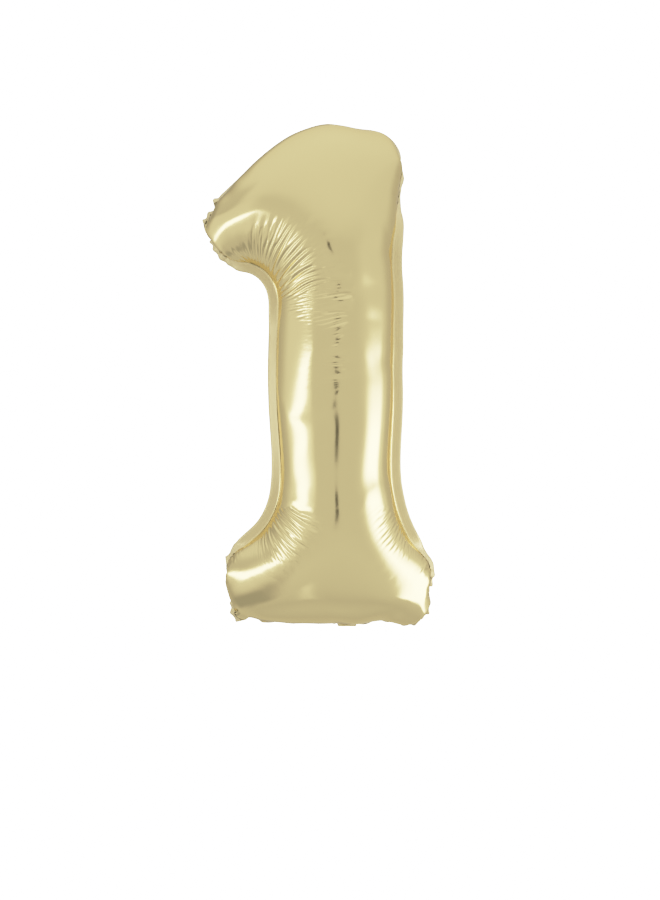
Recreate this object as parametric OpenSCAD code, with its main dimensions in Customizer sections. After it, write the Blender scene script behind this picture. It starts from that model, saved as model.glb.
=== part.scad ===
// Foil number balloon in the shape of the figure 1, inflated.
//
// Two flat films are welded together along the outline of the figure and filled with gas.
// Frame: +Z up, the figure faces -Y, the origin is under the middle of the lowest edge.

/* [Figure] */
// Height over all, between the trimmed edges
total_h = 860; // [700:5:1000]
// Width over all, from the tip of the flag to the widest point of the base
total_w = 397; // [370:1:430]
// Distance from the middle of the figure to the left trimmed edge of the stem
stem_left = 86; // [75:1:95]
// Distance from the middle of the figure to the right trimmed edge of the stem
stem_right = 145; // [130:1:155]
// Height at which the base is widest
base_wide_z = 112; // [90:1:125]
// Height at which the flare of the base meets the stem
base_neck_z = 188; // [175:1:230]
// How far the tip of the flag lies under the top
flag_drop = 168; // [150:1:190]
// Height of the slanted end of the flag
flag_end_h = 64; // [50:1:75]

/* [Film] */
// Thickness of each film as a solid, thicker than the real foil, which is 0.03
film_t = 0.35; // [0.25:0.05:0.6]
// Width of the flat welded rim outside the inflated body
flange_w = 16; // [12:1:18]
// Thickness of one film in the flat rim
flange_t = 0.2; // [0.15:0.05:0.3]

/* [Inflation tail] */
// Distance of the tail from the middle of the figure
tail_x = 49; // [-40:1:100]
// Width of the tail at its root
tail_w = 30; // [22:1:40]
// Width of the tail at its mouth
tail_mouth_w = 35; // [24:1:45]
// Length of the tail beyond the trimmed edge
tail_len = 56; // [30:1:70]
// Width of the sealed margin along each side of the tail
tail_seal = 4; // [2:0.5:6]
// Height of the flat channel between the two films of the tail
tail_gap = 0.4; // [0.2:0.1:0.8]
// Gap between the tail and the rim that it folds on
tail_clear = 1; // [0.8:0.1:1.5]

/* [Valve] */
// Width of the self-sealing valve strips
valve_w = 26; // [18:1:28]
// Length of the valve strips inside the body
valve_len = 170; // [100:5:220]
// Thickness of a valve strip
valve_t = 0.25; // [0.15:0.05:0.4]
// Gap between the two valve strips
valve_gap = 0.2; // [0.1:0.05:0.4]
// Gap between the valve strips and the weld of the lowest edge
valve_lift = 0.1; // [0.1:0.1:2]

/* [Hidden] */

foil_colour = "#d3c592";
tail_colour = "#cbbb86";
strip_colour = "#e9e7e0";

// Corners of the trimmed outline, anticlockwise from the right foot: x, z and radius
stem_l = -stem_left;
stem_r = stem_right;
half_w = total_w / 2;
flag_z = total_h - flag_drop;
CORNERS = [
    [half_w - 18, 0, 42],                          // right foot
    [half_w + 3, base_wide_z, 34],                 // right end of the base
    [stem_r - 2, base_neck_z, 57],                 // right neck, hollow
    [stem_r + 4, total_h - 28, 83],                // shoulder above the stem
    [20, total_h + 10, 152],                       // crown
    [-70, total_h - 26, 59],                       // top of the slanted edge
    [-half_w - 8, flag_z, 31],                     // tip of the flag
    [-half_w + 28, flag_z - flag_end_h, 60],       // underside of the flag
    [stem_l, flag_z - flag_end_h - 29, 46],        // root of the flag, hollow
    [stem_l + 2, base_neck_z + 8, 91],             // left neck, hollow
    [-half_w + 44, base_wide_z, 35],               // left end of the base
    [-half_w + 58, 0, 38]                          // left foot
];
ARC_STEPS = 7;           // straight pieces in each rounded corner
CHORDS = 12;             // directions in which the span of the outline is measured
COLUMNS = 20;            // strips of facets across each level
SMOOTH_PASSES = 3;       // passes that even out the depth between neighbouring points
SMOOTH_FROM = 3;         // points from the weld at which those passes start
TOP_CUT = 0.6;           // from the crown of the weld down to the highest level, so that it has a width
EVEN_BAND = 24;          // height of the bands at the foot and the crown where points spread evenly
FOOT_LEVELS = 10;        // levels of facets in the foot
FLARE_LEVELS = 8;        // in the flare of the base
STEM_LEVELS = 9;         // in the stem
FLAG_LEVELS = 12;        // round the root of the flag
CROWN_LEVELS = 15;       // and from there to the crown
FAR = 1e6;               // a chord that never leaves the outline
LEAST = 1;               // smallest product of the two halves of a chord, so that none is 0
OVERRUN = 1;             // that a cutter runs past the faces it cuts
HAIR = 0.01;             // overlap of joined solids, and the least height of a level above the weld

function unit(v) = v / norm(v);
function left_of(v) = [-v.y, v.x];
function wrap(list, i) = list[(i + len(list)) % len(list)];
function xz(c) = [c.x, c.y];

// Moves every side of a polygon inwards by d and keeps the centres of its rounded corners
function inset_corner(c, i, d) =
    let (before = unit(xz(c[i]) - xz(wrap(c, i - 1))),
         after = unit(xz(wrap(c, i + 1)) - xz(c[i])),
         turn = before.x * after.y - before.y * after.x,
         shift = d * (left_of(before) + left_of(after)) / (1 + before * after))
    [c[i].x + shift.x, c[i].y + shift.y, c[i][2] - sign(turn) * d];
function inset(c, d) = [for (i = [0 : len(c) - 1]) inset_corner(c, i, d)];

// Points along one rounded corner
function arc_points(c, i) =
    let (p = xz(c[i]),
         to_last = unit(xz(wrap(c, i - 1)) - p),
         to_next = unit(xz(wrap(c, i + 1)) - p),
         half_angle = acos(to_last * to_next) / 2,
         bisector = unit(to_last + to_next),
         centre = p + bisector * c[i][2] / sin(half_angle),
         start = p + to_last * c[i][2] / tan(half_angle) - centre,
         side = sign(start.x * to_last.y - start.y * to_last.x),
         sweep = -side * (180 - 2 * half_angle))
    [for (k = [0 : ARC_STEPS])
        let (a = sweep * k / ARC_STEPS)
        centre + [start.x * cos(a) - start.y * sin(a), start.x * sin(a) + start.y * cos(a)]];
function rounded(c) = [for (i = [0 : len(c) - 1]) each arc_points(c, i)];

// The trimmed outline is stretched and moved to its exact height and width
trim_raw = rounded(CORNERS);
raw_x = [for (p = trim_raw) p.x];
raw_z = [for (p = trim_raw) p.y];
fit_x = total_w / (max(raw_x) - min(raw_x));
fit_z = total_h / (max(raw_z) - min(raw_z));
middle_x = (max(raw_x) + min(raw_x)) / 2;
PLACED = [for (c = CORNERS) [(c.x - middle_x) * fit_x, (c.y - min(raw_z)) * fit_z, c[2]]];
WELD = rounded(inset(PLACED, flange_w));
weld_low = min([for (p = WELD) p.y]);
top_level = max([for (p = WELD) p.y]) - TOP_CUT;

// Where a line of direction dir through p leaves the welded outline, on each side
function crossings(p, dir) = [
    for (i = [0 : len(WELD) - 1])
        let (a = WELD[i] - p,
             b = wrap(WELD, i + 1) - p,
             sa = dir.x * a.y - dir.y * a.x,
             sb = dir.x * b.y - dir.y * b.x)
        if ((sa > 0) != (sb > 0))
            let (q = a + (b - a) * sa / (sa - sb)) q * dir];
function span_product(p, dir) =
    let (t = crossings(p, dir))
    min([FAR, for (s = t) if (s >= 0) s]) * min([FAR, for (s = t) if (s < 0) -s]);

// Depth of the inflated film at a point of the figure. For a straight tube of radius r the
// result is exactly its round section, and for a disc it is the flattened cushion of foil.
function depth(p) =
    let (k = [for (i = [0 : CHORDS - 1])
                 let (a = 180 * (i + 0.5) / CHORDS) 2 / max(span_product(p, [cos(a), sin(a)]), LEAST)])
    sqrt(CHORDS / (k * [for (i = k) 1]));

// Levels of the facets: closer together where the outline bends
function ease_out(z0, z1, n) = [for (i = [0 : n - 1]) z0 + (z1 - z0) * (1 - cos(90 * i / n))];
function ease_in(z0, z1, n) = [for (i = [0 : n]) z0 + (z1 - z0) * sin(90 * i / n)];
function even(z0, z1, n) = [for (i = [0 : n - 1]) z0 + (z1 - z0) * i / n];
foot_end = base_wide_z - 10;                     // under the widest point of the base
flare_end = base_neck_z + 40;                    // above its neck
flag_low = flag_z - flag_end_h - 50;             // under the root of the flag
flag_high = flag_z + 26;                         // above the tip of the flag
LEVELS = concat(ease_out(weld_low, foot_end, FOOT_LEVELS), even(foot_end, flare_end, FLARE_LEVELS),
                even(flare_end, flag_low, STEM_LEVELS), even(flag_low, flag_high, FLAG_LEVELS),
                ease_in(flag_high, top_level, CROWN_LEVELS));
ROWS = len(LEVELS) - 1;

// The two ends of a level on the welded outline. Points crowd towards the ends of a level,
// where the film is steep, but are evenly spaced on the lowest and the highest one.
function level_ends(z) =
    let (t = crossings([0, max(z, weld_low + HAIR)], [1, 0]))
    [min(t), max(t)];
function plan_row(z) =
    let (e = level_ends(z), mid = (e[0] + e[1]) / 2, half = (e[1] - e[0]) / 2,
         even = max(1 - min(z - weld_low, top_level - z) / EVEN_BAND, 0))
    [for (i = [0 : COLUMNS])
        [mid + half * (even * (2 * i / COLUMNS - 1) - (1 - even) * cos(180 * i / COLUMNS)), z]];

// True on the edge of the grid of points
function on_rim(j, i) = j == 0 || j == ROWS || i == 0 || i == COLUMNS;
function near_rim(j, i) = min(j, ROWS - j, i, COLUMNS - i) < SMOOTH_FROM;
function smoothed(h, n) = n == 0 ? h : smoothed(
    [for (j = [0 : ROWS]) [for (i = [0 : COLUMNS])
        near_rim(j, i) ? h[j][i]
        : (4 * h[j][i] + h[j - 1][i] + h[j + 1][i] + h[j][i - 1] + h[j][i + 1]) / 8]], n - 1);

// Indices of the rim of the grid, anticlockwise from its lower left corner
function rim_ids() = concat(
    [for (i = [0 : COLUMNS]) i],
    [for (j = [1 : ROWS]) j * (COLUMNS + 1) + COLUMNS],
    [for (i = [COLUMNS - 1 : -1 : 0]) ROWS * (COLUMNS + 1) + i],
    [for (j = [ROWS - 1 : -1 : 1]) j * (COLUMNS + 1)]);

function grid_faces(first, flip) = [
    for (j = [0 : ROWS - 1], i = [0 : COLUMNS - 1])
        let (a = first + j * (COLUMNS + 1) + i, b = a + 1, c = b + COLUMNS + 1, d = c - 1,
             pair = 2 * i < COLUMNS ? [[a, b, c], [a, c, d]] : [[a, b, d], [b, c, d]])
        for (f = pair) flip ? [f[2], f[1], f[0]] : f];
function strip_faces(a, b) = [
    for (i = [0 : len(a) - 1])
        each [[a[i], wrap(a, i + 1), wrap(b, i + 1)], [a[i], wrap(b, i + 1), b[i]]]];

// One whole film, from trimmed edge to trimmed edge: the inflated shell and its flat rim.
// The film bulges towards -Y.
module film() {
    plan = [for (z = LEVELS) plan_row(z)];
    rough = [for (j = [0 : ROWS]) [for (i = [0 : COLUMNS]) on_rim(j, i) ? 0 : depth(plan[j][i])]];
    h = smoothed(rough, SMOOTH_PASSES);
    ids = rim_ids();
    flat = [for (j = [0 : ROWS]) each plan[j]];
    rim = [for (k = ids) flat[k]];
    out = [for (k = [0 : len(rim) - 1])
              -left_of(unit(unit(wrap(rim, k + 1) - rim[k]) + unit(rim[k] - wrap(rim, k - 1))))];
    outer = [for (j = [0 : ROWS]) each [for (i = [0 : COLUMNS])
                [plan[j][i].x, -max(h[j][i], flange_t), plan[j][i].y]]];
    inner = [for (j = [0 : ROWS]) each [for (i = [0 : COLUMNS])
                let (k = j * (COLUMNS + 1) + i)
                on_rim(j, i)
                ? let (r = search(k, ids)[0]) [rim[r].x - film_t * out[r].x, 0,
                                               rim[r].y - film_t * out[r].y]
                : let (across = outer[k + 1] - outer[k - 1],
                       up = outer[k + COLUMNS + 1] - outer[k - COLUMNS - 1])
                  outer[k] - film_t * unit(cross(across, up))]];
    trim = [for (r = [0 : len(rim) - 1]) rim[r] + flange_w * out[r]];
    size = len(outer);
    edge = len(rim);
    front_edge = [for (r = [0 : edge - 1]) 2 * size + r];
    back_edge = [for (r = [0 : edge - 1]) 2 * size + edge + r];
    polyhedron(
        points = concat(outer, inner, [for (p = trim) [p.x, -flange_t, p.y]],
                        [for (p = trim) [p.x, 0, p.y]]),
        faces = concat(grid_faces(0, true), grid_faces(size, false),
                       strip_faces(ids, front_edge),
                       strip_faces(front_edge, back_edge),
                       strip_faces(back_edge, [for (k = ids) size + k])));
}

module front_film() {
    color(foil_colour) film();
}

module back_film() {
    color(foil_colour) mirror([0, 1, 0]) film();
}

// Plan of the tail, from its root at y = 0 to its mouth
module tail_plan() {
    polygon([[-tail_w / 2, 0], [tail_w / 2, 0], [tail_mouth_w / 2, tail_len],
             [-tail_mouth_w / 2, tail_len]]);
}
module tail_channel() {
    inner_root = tail_w / 2 - tail_seal;
    inner_mouth = tail_mouth_w / 2 - tail_seal;
    polygon([[-inner_root, -OVERRUN], [inner_root, -OVERRUN], [inner_mouth, tail_len + OVERRUN],
             [-inner_mouth, tail_len + OVERRUN]]);
}

// One film of the tail, lying flat, with the sealed margins standing up to the middle
module tail_film() {
    linear_extrude(film_t) tail_plan();
    translate([0, 0, film_t - HAIR]) linear_extrude(tail_gap / 2 + HAIR)
        difference() {
            tail_plan();
            tail_channel();
        }
}
tail_t = 2 * film_t + tail_gap;

// The tail is folded back: its front film faces down and its back film faces up
module tail_front_film() {
    color(tail_colour) translate([tail_x, tail_clear, 0]) tail_film();
}

module tail_back_film() {
    color(tail_colour) translate([tail_x, tail_clear, tail_t]) mirror([0, 0, 1]) tail_film();
}

// A valve strip stands inside the body over the tail, on the weld of the lowest edge
module valve_strip() {
    translate([tail_x - valve_w / 2, valve_gap / 2, weld_low + film_t + valve_lift])
        cube([valve_w, valve_t, valve_len]);
}

module valve_front_strip() {
    color(strip_colour) mirror([0, 1, 0]) valve_strip();
}

module valve_back_strip() {
    color(strip_colour) valve_strip();
}

front_film();
back_film();
tail_front_film();
tail_back_film();
valve_front_strip();
valve_back_strip();
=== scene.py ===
"""Foil number balloon: two metallised films, cut flat, welded round the figure and blown up.

The two films are inflated here, by a small solver that works as the real object does. A flat
triangle mesh of each film hardly stretches, the two share the weld line, and gas presses them
apart. Where the photo shows smooth film, the mesh is drawn smooth. The solver works in
millimetres, in the plane of the CAD frame, and the result is centred in the CAD model's box.
All Blender objects are in metres.
"""
import math

import bpy
import numpy as np
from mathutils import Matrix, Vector
from mathutils.geometry import delaunay_2d_cdt


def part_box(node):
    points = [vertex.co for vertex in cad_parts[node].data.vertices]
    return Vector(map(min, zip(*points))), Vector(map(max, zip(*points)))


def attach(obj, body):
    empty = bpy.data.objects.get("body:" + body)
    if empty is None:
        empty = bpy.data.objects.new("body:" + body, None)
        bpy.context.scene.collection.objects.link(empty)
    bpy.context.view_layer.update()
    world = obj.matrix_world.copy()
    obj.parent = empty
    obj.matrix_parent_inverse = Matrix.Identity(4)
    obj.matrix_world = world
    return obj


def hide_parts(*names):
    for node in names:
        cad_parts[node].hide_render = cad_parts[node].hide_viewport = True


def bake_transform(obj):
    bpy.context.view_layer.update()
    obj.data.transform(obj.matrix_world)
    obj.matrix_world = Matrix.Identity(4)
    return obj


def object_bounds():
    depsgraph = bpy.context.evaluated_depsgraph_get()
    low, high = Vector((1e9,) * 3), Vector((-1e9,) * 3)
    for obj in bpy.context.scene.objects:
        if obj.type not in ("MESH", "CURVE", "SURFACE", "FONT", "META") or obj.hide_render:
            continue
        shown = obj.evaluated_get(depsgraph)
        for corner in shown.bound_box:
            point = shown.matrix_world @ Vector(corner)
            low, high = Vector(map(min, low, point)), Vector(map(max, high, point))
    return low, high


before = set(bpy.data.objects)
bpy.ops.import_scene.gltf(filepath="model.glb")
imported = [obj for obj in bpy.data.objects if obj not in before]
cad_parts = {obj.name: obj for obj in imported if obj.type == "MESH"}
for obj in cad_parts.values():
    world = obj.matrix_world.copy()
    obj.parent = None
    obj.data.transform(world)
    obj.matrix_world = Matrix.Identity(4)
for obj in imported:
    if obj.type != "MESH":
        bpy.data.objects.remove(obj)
cad_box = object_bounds()

MM = 0.001

# ---------------------------------------------------------------- the flat cut of a film

# Corners of the weld line as it is cut, before inflation: x, z and radius, anticlockwise
CUT_CORNERS = [
    (109, -70, 350),     # right half of the lowest edge
    (226, -27, 72),      # right foot
    (243, 74, 100),      # right end of the base
    (192, 196, 315),     # right neck, hollow
    (219, 856, 112),     # shoulder above the stem
    (80, 943, 185),      # crown
    (-94, 903, 239),     # top of the slanted edge
    (-238, 752, 88),     # tip of the flag
    (-196, 648, 103),    # underside of the flag
    (-119, 603, 93),     # root of the flag, hollow
    (-121, 192, 172),    # left neck, hollow
    (-199, 82, 98),      # left end of the base
    (-172, -45, 59),     # left foot
    (-87, -63, 230),     # left half of the lowest edge
]
RIM_WIDTH = 18.0         # flat rim outside the weld line
RUFFLE_PITCH = 15.0      # along the rim, from one ruffle to the next
RUFFLE_SWING = 14.0      # degrees that a ruffle turns the rim each way
COARSE = 17.0            # side of a triangle in the first, coarsest mesh
FINE = 8.0               # and where the film gathers into pleats
CLEAR = 0.55             # of its side, that a grid of triangles keeps from the weld line
ARC_POINTS = 24          # in each rounded corner, before the outline is spaced evenly
ON_LINE = 1e-3           # closer to a line than this is on it
FLAG_TIP_X = -185.0      # the weld line keeps all its points left of this
BASE_END_X = 160.0       # and outside this, on both sides,
BASE_TOP_Z = 130.0       # under this
PLEATED = [              # circles in the cut where the film gathers: x, z, radius
    (-75, 560, 145),     # under the flag
    (-20, 430, 80),      # down the stem from there
    (-110, 150, 88),     # left neck
    (160, 155, 92),      # right neck
]


def lengths_along(outline):
    """How far along a closed outline each point is, and last its whole length."""
    gaps = np.linalg.norm(np.roll(outline, -1, 0) - outline, axis=1)
    return np.concatenate([[0], np.cumsum(gaps)])


def rounded_outline(corners, step):
    """Evenly spaced points round a polygon with rounded corners."""
    points = []
    for i, (x, z, radius) in enumerate(corners):
        corner = np.array((x, z), float)
        back = np.array(corners[i - 1][:2]) - corner
        ahead = np.array(corners[(i + 1) % len(corners)][:2]) - corner
        back, ahead = back / np.linalg.norm(back), ahead / np.linalg.norm(ahead)
        half = math.acos(back @ ahead) / 2
        middle = back + ahead
        centre = corner + middle / np.linalg.norm(middle) * radius / math.sin(half)
        start = corner + back * radius / math.tan(half) - centre
        end = corner + ahead * radius / math.tan(half) - centre
        first, last = math.atan2(start[1], start[0]), math.atan2(end[1], end[0])
        turn = (last - first + math.pi) % (2 * math.pi) - math.pi
        for a in np.linspace(first, first + turn, ARC_POINTS):
            points.append(centre + radius * np.array((math.cos(a), math.sin(a))))
    points = np.array(points)
    along = lengths_along(points)
    closed = np.vstack([points, points[:1]])
    at = np.linspace(0, along[-1], int(round(along[-1] / step)), endpoint=False)
    return np.stack([np.interp(at, along, closed[:, k]) for k in (0, 1)], axis=1)


def outward(outline):
    """Unit normals of an anticlockwise outline, pointing out."""
    along = np.roll(outline, -1, 0) - np.roll(outline, 1, 0)
    along /= np.linalg.norm(along, axis=1)[:, None]
    return np.stack([along[:, 1], -along[:, 0]], axis=1)


def inside(points, outline):
    """Whether each point is inside, by counting the sides that lie to its right."""
    hit = np.zeros(len(points), bool)
    x, z = points.T
    for (x0, z0), (x1, z1) in zip(outline, np.roll(outline, -1, 0)):
        if z0 != z1:
            hit ^= ((z0 > z) != (z1 > z)) & (x < (x1 - x0) * (z - z0) / (z1 - z0) + x0)
    return hit


def distance_to(points, outline):
    """How far each point is from the nearest side of the outline."""
    best = np.full(len(points), np.inf)
    for a, b in zip(outline, np.roll(outline, -1, 0)):
        side = b - a
        t = np.clip((points - a) @ side / (side @ side), 0, 1)
        best = np.minimum(best, np.hypot(*(points - a - t[:, None] * side).T))
    return best


def nearest(points, targets):
    """For each point the number of the target nearest to it."""
    return np.array([((targets - p) ** 2).sum(1).argmin() for p in points])


def triangular_grid(low, high, step):
    rise = step * math.sqrt(3) / 2
    rows = int((high[1] - low[1]) / rise) + 2
    cols = int((high[0] - low[0]) / step) + 2
    j, i = np.mgrid[:rows, :cols]
    grid = np.stack([low[0] + (i + 0.5 * (j % 2)) * step, low[1] + j * rise], axis=-1)
    return grid.reshape(-1, 2)


def in_pleats(points):
    x, z = points.T
    circles = [np.hypot(x - mid_x, z - mid_z) < radius for mid_x, mid_z, radius in PLEATED]
    return np.any(circles, axis=0)


def weld_line():
    """The weld line as it is cut, with every second point left out where the film is plain."""
    weld = rounded_outline(CUT_CORNERS, FINE)
    x, z = weld.T
    ruffled = (x < FLAG_TIP_X) | ((np.abs(x) > BASE_END_X) & (z < BASE_TOP_Z))
    return weld[in_pleats(weld) | ruffled | (np.arange(len(weld)) % 2 == 0)]


def cut_film(weld):
    """One flat film inside the weld line: points, those of the weld line first, and triangles."""
    low, high = weld.min(0), weld.max(0)
    wide = triangular_grid(low, high, COARSE)
    wide = wide[inside(wide, weld)]
    wide = wide[(distance_to(wide, weld) > CLEAR * COARSE) & ~in_pleats(wide)]
    close = triangular_grid(low, high, FINE)
    close = close[inside(close, weld) & in_pleats(close)]
    close = close[distance_to(close, weld) > CLEAR * FINE]
    count = len(weld)
    edges = [(i, (i + 1) % count) for i in range(count)]
    seeds = [Vector(p) for p in np.vstack([weld, wide, close])]
    only_inside, same_point = 1, 1e-5
    made = delaunay_2d_cdt(seeds, edges, [list(range(count))], only_inside, same_point)
    flat = np.array([tuple(p) for p in made[0]])
    front = np.array(made[2])
    a, b, c = (flat[front[:, k]] for k in range(3))
    turned = (b[:, 0] - a[:, 0]) * (c[:, 1] - a[:, 1]) < (b[:, 1] - a[:, 1]) * (c[:, 0] - a[:, 0])
    front[turned] = front[turned][:, ::-1]
    return flat, front


def cut_films():
    """The coarse mesh of both films and the rim: flat points, the weld line, the side of each
    point, -1 in front and 1 behind, and the triangles of the front, the back and the rim."""
    weld = weld_line()
    flat, front = cut_film(weld)
    count, total = len(weld), len(flat)
    inner = np.arange(count, total)
    twin = np.arange(total)
    twin[inner] = total + np.arange(len(inner))
    back = twin[front][:, ::-1]
    trimmed = total + len(inner) + np.arange(count)
    flat = np.vstack([flat, flat[inner], weld + RIM_WIDTH * outward(weld)])
    here, after = np.arange(count), (np.arange(count) + 1) % count
    rim = np.vstack([np.stack([here, trimmed, after], 1),
                     np.stack([after, trimmed, trimmed[after]], 1)])
    side = np.zeros(len(flat))
    side[inner], side[twin[inner]] = -1, 1
    return flat, weld, side, [front, back, rim]


# ---------------------------------------------------------------- the inflation

def sides_of(triangles):
    """The three sides of every triangle, each from its lower point, so that most come twice."""
    pairs = np.vstack([triangles[:, [0, 1]], triangles[:, [1, 2]], triangles[:, [2, 0]]])
    return np.sort(pairs, axis=1)


def edges_of(triangles):
    return np.unique(sides_of(triangles), axis=0)


def hinges_of(triangles):
    """Pairs of corners that face each other across an edge."""
    pairs = sides_of(triangles).astype(np.int64)
    tips = np.concatenate([triangles[:, 2], triangles[:, 0], triangles[:, 1]])
    key = pairs[:, 0] * (pairs.max() + 1) + pairs[:, 1]
    order = np.argsort(key, kind="stable")
    same = np.flatnonzero(np.diff(key[order]) == 0)
    return np.stack([tips[order][same], tips[order][same + 1]], axis=1)


FILLING_ROUNDS = 4
GROUP_SEED = 1


def independent_groups(pairs, count):
    """Splits pairs into groups in which no point comes twice, so that a group moves at once.
    A pair wins a place if its random rank is the lowest at both its points, and a few rounds
    fill a group up."""
    order = np.random.RandomState(GROUP_SEED).permutation(len(pairs))
    left = np.arange(len(pairs))
    groups = []
    while len(left):
        taken = []
        used = np.zeros(count, bool)
        open_pairs = left
        for _ in range(FILLING_ROUNDS):
            if not len(open_pairs):
                break
            first = np.full(count, len(pairs))
            rank = order[open_pairs]
            np.minimum.at(first, pairs[open_pairs, 0], rank)
            np.minimum.at(first, pairs[open_pairs, 1], rank)
            wins = (first[pairs[open_pairs, 0]] == rank) & (first[pairs[open_pairs, 1]] == rank)
            taken.append(open_pairs[wins])
            used[pairs[open_pairs[wins]].ravel()] = True
            open_pairs = open_pairs[~wins]
            open_pairs = open_pairs[~used[pairs[open_pairs]].any(axis=1)]
        taken = np.concatenate(taken)
        groups.append(taken)
        left = np.setdiff1d(left, taken, assume_unique=True)
    return groups


def subdivide(flat, shape, groups):
    """Splits every triangle into four. Also gives the edges whose middles are the new points."""
    edges, which = np.unique(sides_of(np.vstack(groups)), axis=0, return_inverse=True)
    middle = len(flat) + which.reshape(3, -1).T
    flat = np.vstack([flat, flat[edges].mean(1)])
    shape = np.vstack([shape, shape[edges].mean(1)])
    finer, done = [], 0
    for t in groups:
        m = middle[done:done + len(t)]
        done += len(t)
        finer.append(np.vstack([np.stack([t[:, 0], m[:, 0], m[:, 2]], 1),
                                np.stack([t[:, 1], m[:, 1], m[:, 0]], 1),
                                np.stack([t[:, 2], m[:, 2], m[:, 1]], 1), m]))
    return flat, shape, finer, edges


def ramp(value, low, high):
    """0 at low, 1 at high, smooth between."""
    t = np.clip((value - low) / (high - low), 0, 1)
    return t * t * (3 - 2 * t)


# The next functions fade regions of the cut in and out, between bounds in x and z in it. up is
# how far the outline's normal points up there, from -1 to 1.

def calm(points):
    """1 where the film stays smooth: round the crown, along the foot, down the stem."""
    x, z = points.T
    crown = ramp(z, 705, 745) * ramp(-x, -185, -150) * ramp(x, -232, -215)
    foot = ramp(-z, -40, 0) * ramp(-np.abs(x), -185, -150)
    stem = ramp(z, 225, 260) * ramp(-z, -370, -320)
    right = ramp(z, 225, 260) * ramp(-z, -690, -650) * ramp(x, 50, 80)
    return np.maximum.reduce([crown, foot, stem, right])


def settled(points):
    """1 down the stem and round the crown, where the film is drawn smooth at the end."""
    z = points[:, 1]
    return np.maximum(ramp(z, 190, 235) * ramp(-z, -405, -345), ramp(z, 800, 850))


FAIR_STEP = 0.3          # of the way to a fair shape, in one pass


def fairing(edges, kind, mask):
    """For each masked point its neighbours and how far it moves. The weld line and the trimmed
    edge only follow themselves."""
    to = np.concatenate([edges[:, 0], edges[:, 1]])
    near = np.concatenate([edges[:, 1], edges[:, 0]])
    allowed = (mask[to] > 0) & ((kind[to] % 2 == 0) | (kind[to] == kind[near]))
    to, near = to[allowed], near[allowed]
    order = np.argsort(to, kind="stable")
    to, near = to[order], near[order]
    moved, first = np.unique(to, return_index=True)
    number = np.diff(np.append(first, len(to)))
    return moved, near, first, (1 / number)[:, None], (FAIR_STEP * mask[moved])[:, None]


def fair(x, plan):
    """Takes out short waves, and leaves even stretches and wide curves as they are."""
    moved, near, first, share, weight = plan
    bend = np.zeros_like(x)
    bend[moved] = np.add.reduceat(x[near], first) * share - x[moved]
    x[moved] -= (np.add.reduceat(bend[near], first) * share - bend[moved]) * weight


def kinds(flat, weld, groups):
    """0 film, 1 weld line, 2 rim, 3 its trimmed edge."""
    rim = groups[2]
    in_rim = np.unique(rim)
    out = distance_to(flat[in_rim], weld)
    kind = np.zeros(len(flat), int)
    kind[in_rim] = np.where(out < ON_LINE, 1, 2)
    pairs, times = np.unique(sides_of(rim), axis=0, return_counts=True)
    border = np.unique(pairs[times == 1])
    kind[border[kind[border] == 2]] = 3
    return kind


# How far the rim is folded to the back in each region, in degrees
CROWN_FOLD = 78
FLAG_FOLD = 66           # round the tip of the flag
SHOULDER_FOLD = 65
STEM_FOLD = 30           # on the left of the stem
ENDS_FOLD = 62           # at the ends of the base
FOOT_FOLD = 85

CALM_RIM = 0.07          # of its firmness, that the rim keeps where it lies smooth
RUFFLE_DRIFT = 1.5       # radians that a ruffle comes early or late at most,
DRIFT_LENGTH = 37.0      # in a slow wave, of which a radian is this long


def under_foot(up, z):
    return ramp(-up, 0.5, 0.9) * ramp(-z, -60, -10)


def round_flag_tip(x, z):
    return ramp(-x, 170, 215) * ramp(z, 560, 620)


def rim_fold(points, normals):
    """How far the rim is folded to the back, in degrees, by where it is on the figure."""
    x, z = points.T
    left, up = -normals[:, 0], normals[:, 1]
    crown = CROWN_FOLD * ramp(up, 0.05, 0.55) * ramp(z, 600, 700)
    flag = round_flag_tip(x, z)
    crown = crown * (1 - flag) + FLAG_FOLD * flag
    foot = FOOT_FOLD * under_foot(up, z)
    ends = ENDS_FOLD * ramp(-z, -150, -110)
    shoulder = SHOULDER_FOLD * ramp(z, 640, 740) * ramp(x, 150, 170)
    stem = STEM_FOLD * ramp(left, 0.5, 0.9) * ramp(-z, -560, -500) * ramp(z, 220, 300)
    return np.maximum.reduce([crown, foot, ends, stem, shoulder])


def rim_wave(weld, points, normals):
    """How far the fold swings to and fro, in degrees: round the tip of the flag, on the shoulder
    and at the ends of the base."""
    s = lengths_along(weld)[nearest(points, weld)]
    x, z = points.T
    up = normals[:, 1]
    flag = ramp(-x, 175, 205) * ramp(z, 600, 650) * ramp(-up, -0.8, -0.5)
    ends = ramp(-z, -140, -110) * ramp(np.abs(x), 150, 180)
    shoulder = ramp(z, 640, 720) * ramp(x, 150, 170) * ramp(-up, -0.5, -0.25)
    swing = RUFFLE_SWING * np.maximum.reduce([flag, ends, shoulder])
    phase = 2 * math.pi * s / RUFFLE_PITCH + RUFFLE_DRIFT * np.sin(s / DRIFT_LENGTH)
    return swing * np.sin(phase)


def rim_ruffle(points, normals):
    """How firmly the rim keeps its length, up to 1. It ruffles where it is firm."""
    x, z = points.T
    up = normals[:, 1]
    smooth = np.maximum(ramp(up, 0.25, 0.6) * ramp(z, 600, 700), under_foot(up, z))
    return 1 - (1 - CALM_RIM) * smooth * (1 - round_flag_tip(x, z))


# On which mesh, 0 being the coarsest, and with how many passes
SETTLING = [(2, 80), (1, 80), (0, 40), (1, 60), (2, 120)]


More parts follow.
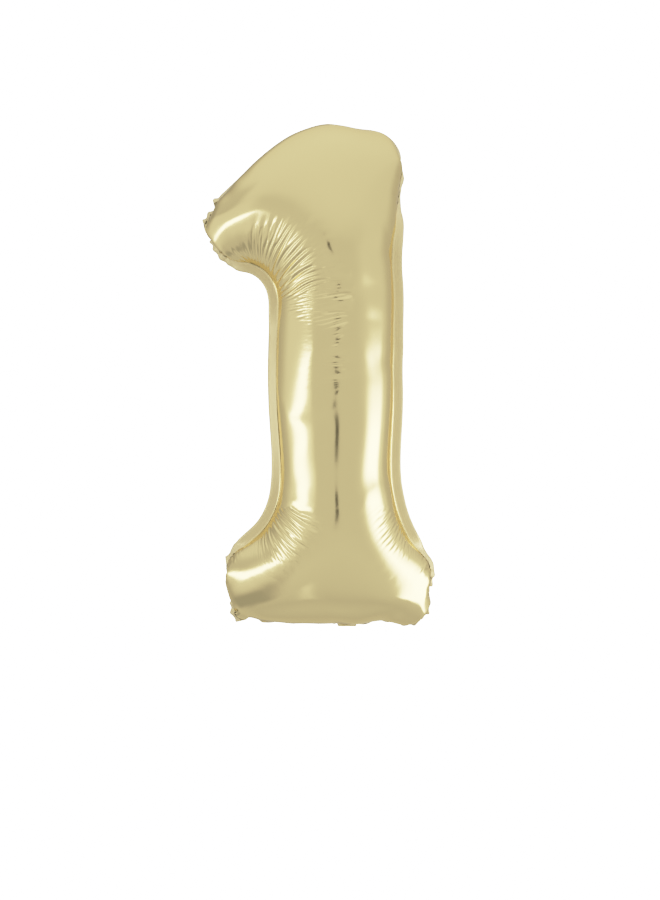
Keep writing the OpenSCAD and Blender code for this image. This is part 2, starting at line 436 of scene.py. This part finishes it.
def settle(flat, shape, weld, meshes, splits):
    """Draws the stem and the crown smooth, their short waves on the finest mesh and their long
    ones on the coarser."""
    for level, passes in SETTLING:
        if level >= len(meshes):
            continue
        edges = edges_of(np.vstack(meshes[level]))
        count = edges.max() + 1
        kind = kinds(flat[:count], weld, meshes[level])
        plan = fairing(edges, kind, settled(flat[:count]))
        moved = shape[:count].copy()
        for _ in range(passes):
            fair(moved, plan)
        change = moved - shape[:count]
        for split in splits[level:]:
            change = np.vstack([change, change[split].mean(1)])
        shape = shape + change
    return shape


# The films are blown up on three meshes, each finer than the one before. In a stage: - steps
# is its number of steps, and gas the pressure at its start and end - squeeze is how firmly a
# side of the film resists getting shorter, from 0 to 1, and rim the same along the rim -
# rim_bend is how firmly the rim resists bending - drag is the share of its speed that a point
# loses in a step - hold is how fast the rim swings to its fold, and weld_hold how fast the
# weld line flattens - stir is how far the points are shaken at the start, in millimetres -
# fair is the number of steps from one pass over the calm film to the next - smooth is the
# number of passes over all the film at the end - gathered is whether calm film keeps the
# length that it has shrunk to - ruffled is whether the fold of the rim swings to and fro
STAGES = [
    dict(steps=800, gas=(1.5e-3, 3e-4), squeeze=0.0, rim=0.0, rim_bend=0.0, drag=0.03,
         hold=0.3, weld_hold=1.0, stir=0.3, fair=8, smooth=12, gathered=False, ruffled=False),
    dict(steps=300, gas=(6e-4, 2e-4), squeeze=0.02, rim=0.04, rim_bend=0.1, drag=0.04,
         hold=0.1, weld_hold=0.02, stir=0.1, fair=3, smooth=20, gathered=True, ruffled=False),
    dict(steps=130, gas=(4e-4, 1e-4), squeeze=0.4, rim=0.5, rim_bend=0.3, drag=0.05,
         hold=0.06, weld_hold=0.0, stir=0.08, fair=2, smooth=0, gathered=True, ruffled=True),
]
ROUNDS = 2               # over all the sides of triangles, in a step
NO_LENGTH = 1e-9         # keeps a division from failing


def film_sides(flat, shape, weld, groups, stage, beyond):
    """The sides of all triangles in independent groups: both ends, length, and how firmly
    each resists getting shorter."""
    rim = groups[2]
    count = len(flat)
    edges = edges_of(np.vstack(groups))
    length = np.linalg.norm(flat[edges[:, 0]] - flat[edges[:, 1]], axis=1)
    free = 1 - calm(flat)[edges].mean(1)
    if stage["gathered"]:
        held = np.linalg.norm(shape[edges[:, 0]] - shape[edges[:, 1]], axis=1)
        length = length * free + np.minimum(length, held) * (1 - free)
    in_rim = np.unique(rim)
    normals = outward(weld)[nearest(flat[in_rim], weld)]
    firm = np.zeros(count)
    firm[in_rim] = stage["rim"] * rim_ruffle(flat[in_rim], normals)
    rim_edges = np.isin(edges[:, 0] * count + edges[:, 1], edges_of(rim) @ (count, 1))
    across = np.abs(beyond[edges[:, 0]] - beyond[edges[:, 1]]) / length
    along = (firm[edges[:, 0]] + firm[edges[:, 1]]) / 2
    squeeze = np.where(rim_edges, along + (1 - along) * across ** 2, stage["squeeze"] * free)
    return [(edges[g, 0], edges[g, 1], length[g].astype(np.float32),
             squeeze[g].astype(np.float32)) for g in independent_groups(edges, count)]


def rim_parts(flat, weld, rim):
    """How far each point is beyond the weld line, the points on that line, those outside it,
    and for each of these the nearest on the line."""
    in_rim = np.unique(rim)
    beyond = np.zeros(len(flat))
    beyond[in_rim] = distance_to(flat[in_rim], weld)
    beyond[beyond < ON_LINE] = 0
    on_weld, outside = in_rim[beyond[in_rim] == 0], in_rim[beyond[in_rim] > 0]
    own = on_weld[nearest(flat[outside], flat[on_weld])]
    return beyond, on_weld, outside, own


def rim_hinges(flat, rim):
    """Corners of the rim that face each other across an edge, in independent groups, and how
    far apart they are while the rim is flat."""
    hinges = hinges_of(rim)
    span = np.linalg.norm(flat[hinges[:, 0]] - flat[hinges[:, 1]], axis=1)
    return [(hinges[g, 0], hinges[g, 1], span[g].astype(np.float32))
            for g in independent_groups(hinges, len(flat))]


def folded_back(flat, weld, outside, beyond, ruffled):
    """How far behind the weld line each point of the rim wants to be."""
    normals = outward(weld)[nearest(flat[outside], weld)]
    fold = rim_fold(flat[outside], normals)
    if ruffled:
        fold = fold + rim_wave(weld, flat[outside], normals)
    return (beyond[outside] * np.sin(np.radians(fold))).astype(np.float32)


def keep_lengths(x, sides):
    """Pulls stretched sides back to their length, and pushes short ones out less firmly."""
    for i, j, rest, firmness in sides:
        gap = x[j] - x[i]
        size = np.sqrt(np.einsum("ij,ij->i", gap, gap)) + NO_LENGTH
        pull = (size - rest) / size
        gap *= (np.where(pull > 0, pull, pull * firmness) * 0.5)[:, None]
        x[i] += gap
        x[j] -= gap


def keep_flat(x, hinges, firmness):
    """Pushes apart the corners that have come closer than they are while the rim is flat."""
    for i, j, rest in hinges:
        gap = x[j] - x[i]
        size = np.sqrt(np.einsum("ij,ij->i", gap, gap)) + NO_LENGTH
        gap *= (np.minimum((size - rest) / size, 0) * 0.5 * firmness)[:, None]
        x[i] += gap
        x[j] -= gap


def gas_push(x, triangles, gas):
    """How far the gas moves each point: a third of the push on every triangle round it."""
    a, b, c = triangles.T
    push = np.cross(x[b] - x[a], x[c] - x[a]) * (gas / 6)
    corners = np.concatenate([a, b, c])
    total = [np.bincount(corners, np.tile(push[:, k], 3), len(x)) for k in range(3)]
    return np.stack(total, 1).astype(np.float32)


def relax(flat, shape, weld, groups, stage, chance):
    """Blows the films up in one stage."""
    front, back, rim = groups
    films = np.vstack([front, back])
    count = len(flat)
    beyond, on_weld, outside, own = rim_parts(flat, weld, rim)
    behind = folded_back(flat, weld, outside, beyond, stage["ruffled"])
    sides = film_sides(flat, shape, weld, groups, stage, beyond)
    hinges = rim_hinges(flat, rim) if stage["rim_bend"] else []
    stillness = calm(flat)
    edges = edges_of(np.vstack(groups))
    kind = kinds(flat, weld, groups)
    steady = fairing(edges, kind, stillness)
    stir = stage["stir"] * (1 - stillness)[:, None]
    x = (shape + chance.randn(count, 3) * stir).astype(np.float32)
    v = np.zeros_like(x)
    first_gas, last_gas = stage["gas"]
    for step in range(stage["steps"]):
        gas = first_gas * (last_gas / first_gas) ** (step / stage["steps"])
        before = x.copy()
        x += v * (1 - stage["drag"]) + gas_push(x, films, gas)
        for _ in range(ROUNDS):
            keep_lengths(x, sides)
            keep_flat(x, hinges, stage["rim_bend"])
        if step % stage["fair"] == 0:
            fair(x, steady)
        x[on_weld, 1] *= 1 - stage["weld_hold"]
        x[outside, 1] += stage["hold"] * (x[own, 1] + behind - x[outside, 1])
        v = x - before
    if stage["smooth"]:
        everything = fairing(edges, kind, np.ones(count))
        for _ in range(stage["smooth"]):
            fair(x, everything)
    return x.astype(float)


START_SLOPE = 0.5        # of the film beside the weld line, before it is blown up,
START_DEPTH = 30.0       # and how far out it stands then at most
SHAKE_SEED = 3


def inflated_films():
    """Flat points, inflated points, the triangles of the front, the back and the rim, and the
    weld line."""
    chance = np.random.RandomState(SHAKE_SEED)
    flat, weld, side, groups = cut_films()
    start = np.minimum(distance_to(flat, weld) * START_SLOPE, START_DEPTH) * side
    shape = np.stack([flat[:, 0], start, flat[:, 1]], axis=1)
    meshes, splits = [groups], []
    stages = STAGES
    for k, stage in enumerate(stages):
        if k:
            flat, shape, groups, split = subdivide(flat, shape, groups)
            meshes.append(groups)
            splits.append(split)
        shape = relax(flat, shape, weld, groups, stage, chance)
    shape = settle(flat, shape, weld, meshes, splits)
    return flat, shape, groups, weld


# ---------------------------------------------------------------- materials

FOIL_GOLD = (0.934, 0.818, 0.49, 1)
RIM_GOLD = (0.912, 0.81, 0.532, 1)
FOIL_ROUGH = (0.11, 0.16)      # roughness of the clearest and the cloudiest patches
RIM_ROUGHER = 0.32             # how much rougher the rim is
RIM_MIRROR = 0.4               # the part of the light that the rim mirrors; it scatters the rest
RIM_BLEND = 3 * MM             # over which the film turns into rim, from the weld line out
SEAM = (8.3 * MM, 8.7 * MM)    # between the rim's two welded lanes, out from the weld line
SEAM_SOFT = 0.6 * MM           # and how wide each of its sloping sides is
SEAM_DEPTH = 0.15 * MM
CRUMPLE_DEPTH = 0.2 * MM
CLOUDS, CRUMPLES = 22, 260     # scales of the foil's noises
MILKY, WAVY = 40, 90           # and of the valve's
NOISE_SPAN = (0.3, 0.7)        # within which most of a noise lies
VALVE_ROUGH = (0.3, 0.5)


def new_material(name):
    material = bpy.data.materials.new(name)
    material.use_nodes = True
    return material, material.node_tree.nodes, material.node_tree.links


def math_node(nodes, links, kind, *inputs):
    node = nodes.new("ShaderNodeMath")
    node.operation = kind
    for socket, value in zip(node.inputs, inputs):
        if isinstance(value, (int, float)):
            socket.default_value = value
        else:
            links.new(value, socket)
    return node.outputs[0]


def map_range(nodes, links, value, low, high, to_low, to_high):
    made = nodes.new("ShaderNodeMapRange")
    made.interpolation_type = "SMOOTHSTEP"
    made.inputs["From Min"].default_value = low
    made.inputs["From Max"].default_value = high
    made.inputs["To Min"].default_value = to_low
    made.inputs["To Max"].default_value = to_high
    links.new(value, made.inputs["Value"])
    return made.outputs["Result"]


def window(nodes, links, value, low, high, soft_low, soft_high):
    """1 between low and high, and falls to 0 over the two soft widths outside them."""
    rising = map_range(nodes, links, value, low - soft_low, low, 0, 1)
    falling = map_range(nodes, links, value, high + soft_high, high, 0, 1)
    return math_node(nodes, links, "MULTIPLY", rising, falling)


def noise(nodes, links, scale, detail=2):
    """Noise in the object's own coordinates."""
    place = nodes.new("ShaderNodeTexCoord")
    made = nodes.new("ShaderNodeTexNoise")
    made.inputs["Scale"].default_value = scale
    made.inputs["Detail"].default_value = detail
    links.new(place.outputs["Object"], made.inputs["Vector"])
    return made.outputs["Fac"]


def bump(nodes, links, height, strength, depth, under=None):
    """Adds a bump of that depth in metres on top of the one under it."""
    made = nodes.new("ShaderNodeBump")
    made.inputs["Strength"].default_value = strength
    made.inputs["Distance"].default_value = depth
    links.new(height, made.inputs["Height"])
    if under:
        links.new(under, made.inputs["Normal"])
    return made.outputs["Normal"]


def foil(name, crumple):
    """Metallised film with a clear outer layer: pale champagne gold, satin mirror. The point
    attribute beyond is the distance from the weld out into the rim, which is duller, scatters
    some of the light and has a seam line between its two welded lanes."""
    material, nodes, links = new_material(name)
    shader = nodes["Principled BSDF"]
    shader.inputs["Specular Tint"].default_value = (0.92, 0.86, 0.7, 1)
    shader.inputs["Coat Weight"].default_value = 0.28
    shader.inputs["Coat IOR"].default_value = 1.5
    shader.inputs["Coat Roughness"].default_value = 0.06
    where = nodes.new("ShaderNodeAttribute")
    where.attribute_name = "beyond"
    beyond = where.outputs["Fac"]
    on_rim = map_range(nodes, links, beyond, 0.0, RIM_BLEND, 0, 1)
    colour = nodes.new("ShaderNodeMix")
    colour.data_type = "RGBA"
    colour.inputs["A"].default_value = FOIL_GOLD
    colour.inputs["B"].default_value = RIM_GOLD
    links.new(on_rim, colour.inputs["Factor"])
    links.new(colour.outputs["Result"], shader.inputs["Base Color"])
    mirror = math_node(nodes, links, "MULTIPLY_ADD", on_rim, RIM_MIRROR - 1, 1)
    links.new(mirror, shader.inputs["Metallic"])
    cloudy = map_range(nodes, links, noise(nodes, links, CLOUDS), *NOISE_SPAN, *FOIL_ROUGH)
    duller = math_node(nodes, links, "MULTIPLY_ADD", on_rim, RIM_ROUGHER, cloudy)
    links.new(duller, shader.inputs["Roughness"])
    seam = window(nodes, links, beyond, *SEAM, SEAM_SOFT, SEAM_SOFT)
    seam = math_node(nodes, links, "SUBTRACT", 1, seam)
    crumples = noise(nodes, links, CRUMPLES, detail=3)
    relief = bump(nodes, links, crumples, strength=crumple, depth=CRUMPLE_DEPTH)
    relief = bump(nodes, links, seam, strength=0.5, depth=SEAM_DEPTH, under=relief)
    links.new(relief, shader.inputs["Normal"])
    return material


def valve_plastic():
    """Milky clear polyethylene."""
    material, nodes, links = new_material("valve_strip")
    shader = nodes["Principled BSDF"]
    shader.inputs["Base Color"].default_value = (0.86, 0.85, 0.8, 1)
    shader.inputs["Transmission Weight"].default_value = 0.5
    cloudy = map_range(nodes, links, noise(nodes, links, MILKY), *NOISE_SPAN, *VALVE_ROUGH)
    links.new(cloudy, shader.inputs["Roughness"])
    relief = bump(nodes, links, noise(nodes, links, WAVY), strength=1, depth=CRUMPLE_DEPTH)
    links.new(relief, shader.inputs["Normal"])
    return material


# ---------------------------------------------------------------- pieces

FILM_T = 0.25 * MM


def add_object(name, data):
    made = bpy.data.objects.new(name, data)
    bpy.context.scene.collection.objects.link(made)
    return made


def film_piece(name, flat, shape, triangles, beyond, material):
    """One film as a thin closed skin outside the surface. All sizes are in metres, flat is
    the film as it was cut, and beyond how far each point is from the weld out into the rim."""
    used, faces = np.unique(triangles, return_inverse=True)
    faces = faces.reshape(-1, 3)
    mesh = bpy.data.meshes.new(name)
    mesh.from_pydata(shape[used].tolist(), [], faces.tolist())
    mesh.polygons.foreach_set("use_smooth", np.ones(len(faces), bool))
    layer = mesh.uv_layers.new(name="cut")
    layer.data.foreach_set("uv", flat[used][faces.ravel()].ravel())
    rim = mesh.attributes.new("beyond", "FLOAT", "POINT")
    rim.data.foreach_set("value", beyond[used])
    mesh.materials.append(material)
    piece = add_object(name, mesh)
    skin = piece.modifiers.new("film", "SOLIDIFY")
    skin.thickness = FILM_T
    skin.offset = 1
    return piece


def placed(flat, shape):
    """Both in metres, at a size that gives the inflated shape the height of the CAD model's
    box, and with the shape in the middle of that box."""
    low, high = shape.min(0), shape.max(0)
    cad_low, cad_high = np.array(cad_box[0]), np.array(cad_box[1])
    size = (cad_high[2] - cad_low[2]) / (high[2] - low[2])
    middle = np.array(((low[0] + high[0]) / 2, 0, low[2]))
    place = np.array(((cad_low[0] + cad_high[0]) / 2, 0, cad_low[2]))
    return flat * size, (shape - middle) * size + place


def make_films():
    """The front film with the front of the rim, and the back film with the back of it."""
    flat, shape, (front, back, rim), weld = inflated_films()
    beyond = np.zeros(len(flat))
    in_rim = np.unique(rim)
    beyond[in_rim] = distance_to(flat[in_rim], weld) * MM
    flat, shape = placed(flat, shape)
    gold = foil("foil", crumple=0.15)
    for name, node, triangles in (
            ("front_film_skin", "front_film", np.vstack([front, rim[:, ::-1]])),
            ("back_film_skin", "back_film", np.vstack([back, rim]))):
        piece = film_piece(name, flat, shape, triangles, beyond, gold)
        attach(piece, "balloon")
        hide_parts(node)


TAIL_FLARE = 5 * MM      # that the mouth of the tail is wider than its root
TAIL_SEAL = 4 * MM       # welded margin along each side of the tail
TAIL_RISE = 3.3 * MM     # from the tail up to the rim that it hangs on, at the middle of its root
TAIL_SCALLOP = 2.6 * MM  # and how much higher the rim is at both sides
TAIL_BEND = 6 * MM       # length of the stretch that bends when the tail folds
TAIL_DROP = 0.6 * TAIL_BEND    # over which it comes down from the rim
TAIL_PARTS = 1.6 * TAIL_SEAL   # how far from its sides the two films are fully apart
TAIL_FLUTE = 0.25 * MM   # height of the flutes along it, at the mouth
TAIL_RIPPLE = 0.12 * MM  # and of the ripples across it
WELD_GAP = 0.02 * MM     # half the gap between the two films, in the welds,
ROOT_GAP = 0.1           # and what it is more between them, in millimetres, at the root
MOUTH_GAP = 0.35         # and how much that grows up to the mouth
TAIL_COLS, TAIL_ROWS = 28, 44


def tail_grid():
    """Points of the tail's middle surface, in rows from root to mouth, and half its gap."""
    low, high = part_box("tail_front_film")
    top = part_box("tail_back_film")[1].z
    middle, mouth, length = (low.x + high.x) / 2, high.x - low.x, high.y
    v, u = np.mgrid[0:1:(TAIL_ROWS + 1) * 1j, -1:1:(TAIL_COLS + 1) * 1j]
    width = mouth - TAIL_FLARE * (1 - v)
    across = u * width / 2
    y = v * length
    rise = TAIL_RISE + TAIL_SCALLOP * u ** 2
    level = (low.z + top) / 2 + rise * np.exp(-(y / TAIL_DROP) ** 2)
    flute = TAIL_FLUTE * v * np.sin(5.5 * u + 1.0) + TAIL_RIPPLE * np.sin(9 * v + 3 * u)
    open_part = ramp(width / 2 - np.abs(across), TAIL_SEAL, TAIL_PARTS)
    gap = WELD_GAP + open_part * (ROOT_GAP + MOUTH_GAP * v ** 2) * MM
    flat = np.stack([middle + across, y], axis=-1).reshape(-1, 2)
    points = np.stack([middle + across, y, level + flute], axis=-1).reshape(-1, 3)
    return flat, points, gap.ravel()


def make_tail():
    """The two films of the tail, welded along their margins and parted a little at the mouth."""
    flat, points, gap = tail_grid()
    number = np.arange(len(points)).reshape(TAIL_ROWS + 1, TAIL_COLS + 1)
    a, b = number[:-1, :-1].ravel(), number[:-1, 1:].ravel()
    c, d = number[1:, 1:].ravel(), number[1:, :-1].ravel()
    upward = np.vstack([np.stack([a, b, c], 1), np.stack([a, c, d], 1)])
    gold = foil("foil_tail", crumple=0.5)
    for name, node, side, triangles in (
            ("tail_front_skin", "tail_front_film", -1, upward[:, ::-1]),
            ("tail_back_skin", "tail_back_film", 1, upward)):
        shape = points + np.outer(gap * side, (0, 0, 1))
        piece = film_piece(name, flat, shape, triangles, np.zeros(len(flat)), gold)
        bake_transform(piece)
        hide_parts(node)


def finish_valve():
    """The valve's two strips keep their CAD shape, in their own plastic."""
    plastic = valve_plastic()
    for node in ("valve_front_strip", "valve_back_strip"):
        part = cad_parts[node]
        part.data.materials.clear()
        part.data.materials.append(plastic)


# ---------------------------------------------------------------- studio

TONE_WHITE = 3.0         # level of light that shows as full white
TONE = [(0.3, 0.3), (0.6, 0.6), (0.75, 0.70), (0.96, 0.79), (1.3, 0.88), (1.6, 0.925),
        (2.2, 0.98)]     # level and how bright it shows, from 0 to 1
CARD = (-0.5, -0.75, 0.5, -0.6, 0.12)       # the grey card: x, and its spans in y and z
CARD_LEVEL = 0.45
CARD_ACROSS = (0.32, 0.68, 0.32, 0.32)      # its window in y, and both soft edges, in shares
CARD_UPRIGHT = (0.3, 0.68, 0.3, 0.32)       # and in z
FLOOR_DROP = 1.0         # of the floor under the balloon, which floats
FLOOR_SIDE = 60.0
FLOOR_GLOW = TONE_WHITE - 0.5
LENS = 70.05             # in millimetres, for a picture 36 high
CAMERA = (0.0197, -3.0, 0.303)


def four_sided(name, corners, material):
    mesh = bpy.data.meshes.new(name)
    mesh.from_pydata(corners, [], [(0, 1, 2, 3)])
    mesh.materials.append(material)
    return add_object(name, mesh)


def make_floor():
    """A plain white floor, lit evenly up to the horizon. The foil mirrors the room instead."""
    half = FLOOR_SIDE / 2
    low = cad_box[0][2] - FLOOR_DROP
    corners = [(-half, -half, low), (half, -half, low), (half, half, low), (-half, half, low)]
    material, nodes, _ = new_material("floor")
    shader = nodes["Principled BSDF"]
    shader.inputs["Base Color"].default_value = (0.85, 0.85, 0.85, 1)
    shader.inputs["Roughness"].default_value = 0.8
    shader.inputs["Emission Color"].default_value = (1, 1, 1, 1)
    shader.inputs["Emission Strength"].default_value = FLOOR_GLOW
    floor = four_sided("floor", corners, material)
    floor.visible_glossy = False
    floor.visible_diffuse = False


def make_camera():
    """Level, in front of the balloon, and framed as the photo is."""
    data = bpy.data.cameras.new("camera")
    camera = add_object("camera", data)
    data.sensor_fit = "VERTICAL"
    data.sensor_height = 36
    data.lens = LENS
    camera.location = CAMERA
    camera.rotation_euler = (math.radians(90), 0, 0)
    bpy.context.scene.camera = camera


STUDIO_TINT = (0.833, 0.809, 0.714)         # of every light and wall: a little dim and warm

# What the studio shows from the balloon. Azimuth 0 is towards the camera and 90 to the right,
# and the levels are against a white of 1.
ROOM = [(-90, 0.69), (-62, 0.62), (-40, 0.70), (-15, 0.76), (0, 0.73), (10, 0.72), (20, 0.85),
        (40, 0.90), (90, 0.96)]          # elevation and level
PANELS = [      # azimuths, their soft edges, elevations, their soft edges, level on top of the room
    (-108, -60, 40, 16, -30, 8, 20, 12, 0.15),    # glow on the left wall
    (72, 104, 30, 24, -10, 8, 15, 12, 0.09),      # glow on the right wall
    (-180, -128, 1, 25, -25, 24, 12, 10, -0.15),  # dim corner behind on the left
    (-180, -85, 1, 20, 18, 32, 8, 10, -0.2),      # and the wall above it
    (136, 180, 30, 1, 0, 24, 10, 10, -0.10),      # and on the right
    (-22, -18, 4, 3, -60, -36, 6, 6, 0.22),       # a gap between the floor and its white sheet
    (-1.5, 3.5, 2, 2, -0.5, 6, 1, 1.5, -0.6),     # the camera's stand
]


def look_angles(nodes, links):
    """Azimuth and elevation, in degrees, of the direction that a ray looks in."""
    direction = nodes.new("ShaderNodeTexCoord")
    axes = nodes.new("ShaderNodeSeparateXYZ")
    links.new(direction.outputs["Generated"], axes.inputs[0])
    x, y, z = axes.outputs
    forward = math_node(nodes, links, "MULTIPLY", y, -1)
    azimuth = math_node(nodes, links, "ARCTAN2", x, forward)
    azimuth = math_node(nodes, links, "DEGREES", azimuth)
    elevation = math_node(nodes, links, "DEGREES", math_node(nodes, links, "ARCSINE", z))
    return azimuth, elevation


def room_level(nodes, links, elevation):
    """The level of the bare room."""
    room = nodes.new("ShaderNodeValToRGB")
    steps = room.color_ramp.elements
    steps[0].position, steps[1].position = 0, 1
    for angle, level in ROOM:
        at = (angle + 90) / 180
        step = steps[0] if at == 0 else steps[-1] if at == 1 else steps.new(at)
        step.color = (level, level, level, 1)
    part = math_node(nodes, links, "MULTIPLY_ADD", elevation, 1 / 180, 0.5)
    links.new(part, room.inputs["Fac"])
    return room.outputs["Color"]


def make_world():
    """The camera sees plain white, and the balloon the studio."""
    world = bpy.data.worlds.new("studio")
    bpy.context.scene.world = world
    world.use_nodes = True
    nodes, links = world.node_tree.nodes, world.node_tree.links
    nodes.clear()
    azimuth, elevation = look_angles(nodes, links)
    total = room_level(nodes, links, elevation)
    for left, right, soft_left, soft_right, low, high, soft_low, soft_high, level in PANELS:
        across = window(nodes, links, azimuth, left, right, soft_left, soft_right)
        upright = window(nodes, links, elevation, low, high, soft_low, soft_high)
        panel = math_node(nodes, links, "MULTIPLY", across, upright)
        total = math_node(nodes, links, "MULTIPLY_ADD", panel, level, total)
    tinted = nodes.new("ShaderNodeVectorMath")
    tinted.operation = "MULTIPLY"
    links.new(total, tinted.inputs[0])
    tinted.inputs[1].default_value = STUDIO_TINT
    studio = nodes.new("ShaderNodeBackground")
    links.new(tinted.outputs[0], studio.inputs["Color"])
    white = nodes.new("ShaderNodeBackground")
    white.inputs["Strength"].default_value = TONE_WHITE
    white.inputs["Color"].default_value = (1, 1, 1, 1)
    ray = nodes.new("ShaderNodeLightPath")
    choose = nodes.new("ShaderNodeMixShader")
    links.new(ray.outputs["Is Camera Ray"], choose.inputs["Fac"])
    links.new(studio.outputs[0], choose.inputs[1])
    links.new(white.outputs[0], choose.inputs[2])
    out = nodes.new("ShaderNodeOutputWorld")
    links.new(choose.outputs[0], out.inputs["Surface"])


DIM_SHARE = 0.08         # of a softbox's level, that its wide window adds


def make_softbox(name, place, side, size, level, slant, core, wide, upright):
    """A softbox beside the balloon, near enough to light only what is level with it. Its
    bright core, wide dim window and upright window are in shares of its width and height, and
    slant moves the first two across with height."""
    light = bpy.data.lights.new(name, "AREA")
    light.shape = "RECTANGLE"
    light.size, light.size_y = size
    light.energy = 1.0
    light.color = STUDIO_TINT
    box = add_object(name, light)
    box.location = place
    box.rotation_euler = (math.radians(90), 0, math.radians(90 * side))
    box.visible_camera = False
    light.use_nodes = True
    nodes, links = light.node_tree.nodes, light.node_tree.links
    where = nodes.new("ShaderNodeNewGeometry")
    axes = nodes.new("ShaderNodeSeparateXYZ")
    links.new(where.outputs["Parametric"], axes.inputs[0])
    u, v, _ = axes.outputs
    shifted = math_node(nodes, links, "MULTIPLY_ADD", v, -slant, u)
    bright = window(nodes, links, shifted, *core)
    dim = window(nodes, links, shifted, *wide)
    across = math_node(nodes, links, "MULTIPLY_ADD", dim, DIM_SHARE, bright)
    total = math_node(nodes, links, "MULTIPLY", across, window(nodes, links, v, *upright))
    strength = math_node(nodes, links, "MULTIPLY", total, level)
    links.new(strength, nodes["Emission"].inputs["Strength"])


def make_lights():
    """Each softbox has core, wide and upright as low, high and the two soft edges."""
    make_softbox("right_softbox", place=(1.09, -0.1, 0.0), side=1, size=(1.5, 1.3),
                 level=14.0, slant=0.0,
                 core=(0.42, 0.62, 0.3, 0.17), wide=(0.3, 0.85, 0.3, 0.15),
                 upright=(0.1, 0.7, 0.1, 0.27))
    make_softbox("left_softbox", place=(-1.09, -0.25, 0.3), side=-1, size=(1.6, 1.0),
                 level=10.5, slant=1.6,
                 core=(-0.4, -0.22, 0.2, 0.1), wide=(-0.53, -0.05, 0.3, 0.2),
                 upright=(0.46, 0.66, 0.12, 0.1))


def make_grey_card():
    """A grey card with soft edges beside the left foot, which only the foot mirrors."""
    x, near, far, low, high = CARD
    corners = [(x, near, low), (x, far, low), (x, far, high), (x, near, high)]
    material, nodes, links = new_material("grey_card")
    nodes.remove(nodes["Principled BSDF"])
    grey = nodes.new("ShaderNodeEmission")
    grey.inputs["Color"].default_value = (*STUDIO_TINT, 1)
    grey.inputs["Strength"].default_value = CARD_LEVEL
    clear = nodes.new("ShaderNodeBsdfTransparent")
    place = nodes.new("ShaderNodeTexCoord")
    axes = nodes.new("ShaderNodeSeparateXYZ")
    links.new(place.outputs["Generated"], axes.inputs[0])
    across = window(nodes, links, axes.outputs["Y"], *CARD_ACROSS)
    upright = window(nodes, links, axes.outputs["Z"], *CARD_UPRIGHT)
    mix = nodes.new("ShaderNodeMixShader")
    links.new(math_node(nodes, links, "MULTIPLY", across, upright), mix.inputs["Fac"])
    links.new(clear.outputs[0], mix.inputs[1])
    links.new(grey.outputs[0], mix.inputs[2])
    links.new(mix.outputs[0], nodes["Material Output"].inputs["Surface"])
    card = four_sided("grey_card", corners, material)
    card.visible_camera = False
    card.visible_diffuse = False
    card.visible_shadow = False


def set_tone():
    """A camera's tone curve: straight up to the middle, with a soft shoulder in the highlights."""
    view = bpy.context.scene.view_settings
    view.view_transform = "Standard"
    view.use_curve_mapping = True
    mapping = view.curve_mapping
    mapping.white_level = (TONE_WHITE, TONE_WHITE, TONE_WHITE)
    all_channels = mapping.curves[3]
    for level, shown in TONE:
        all_channels.points.new(level / TONE_WHITE, shown)
    mapping.update()


make_camera()
make_world()
make_lights()
make_grey_card()
set_tone()
make_floor()
make_films()
make_tail()
finish_valve()
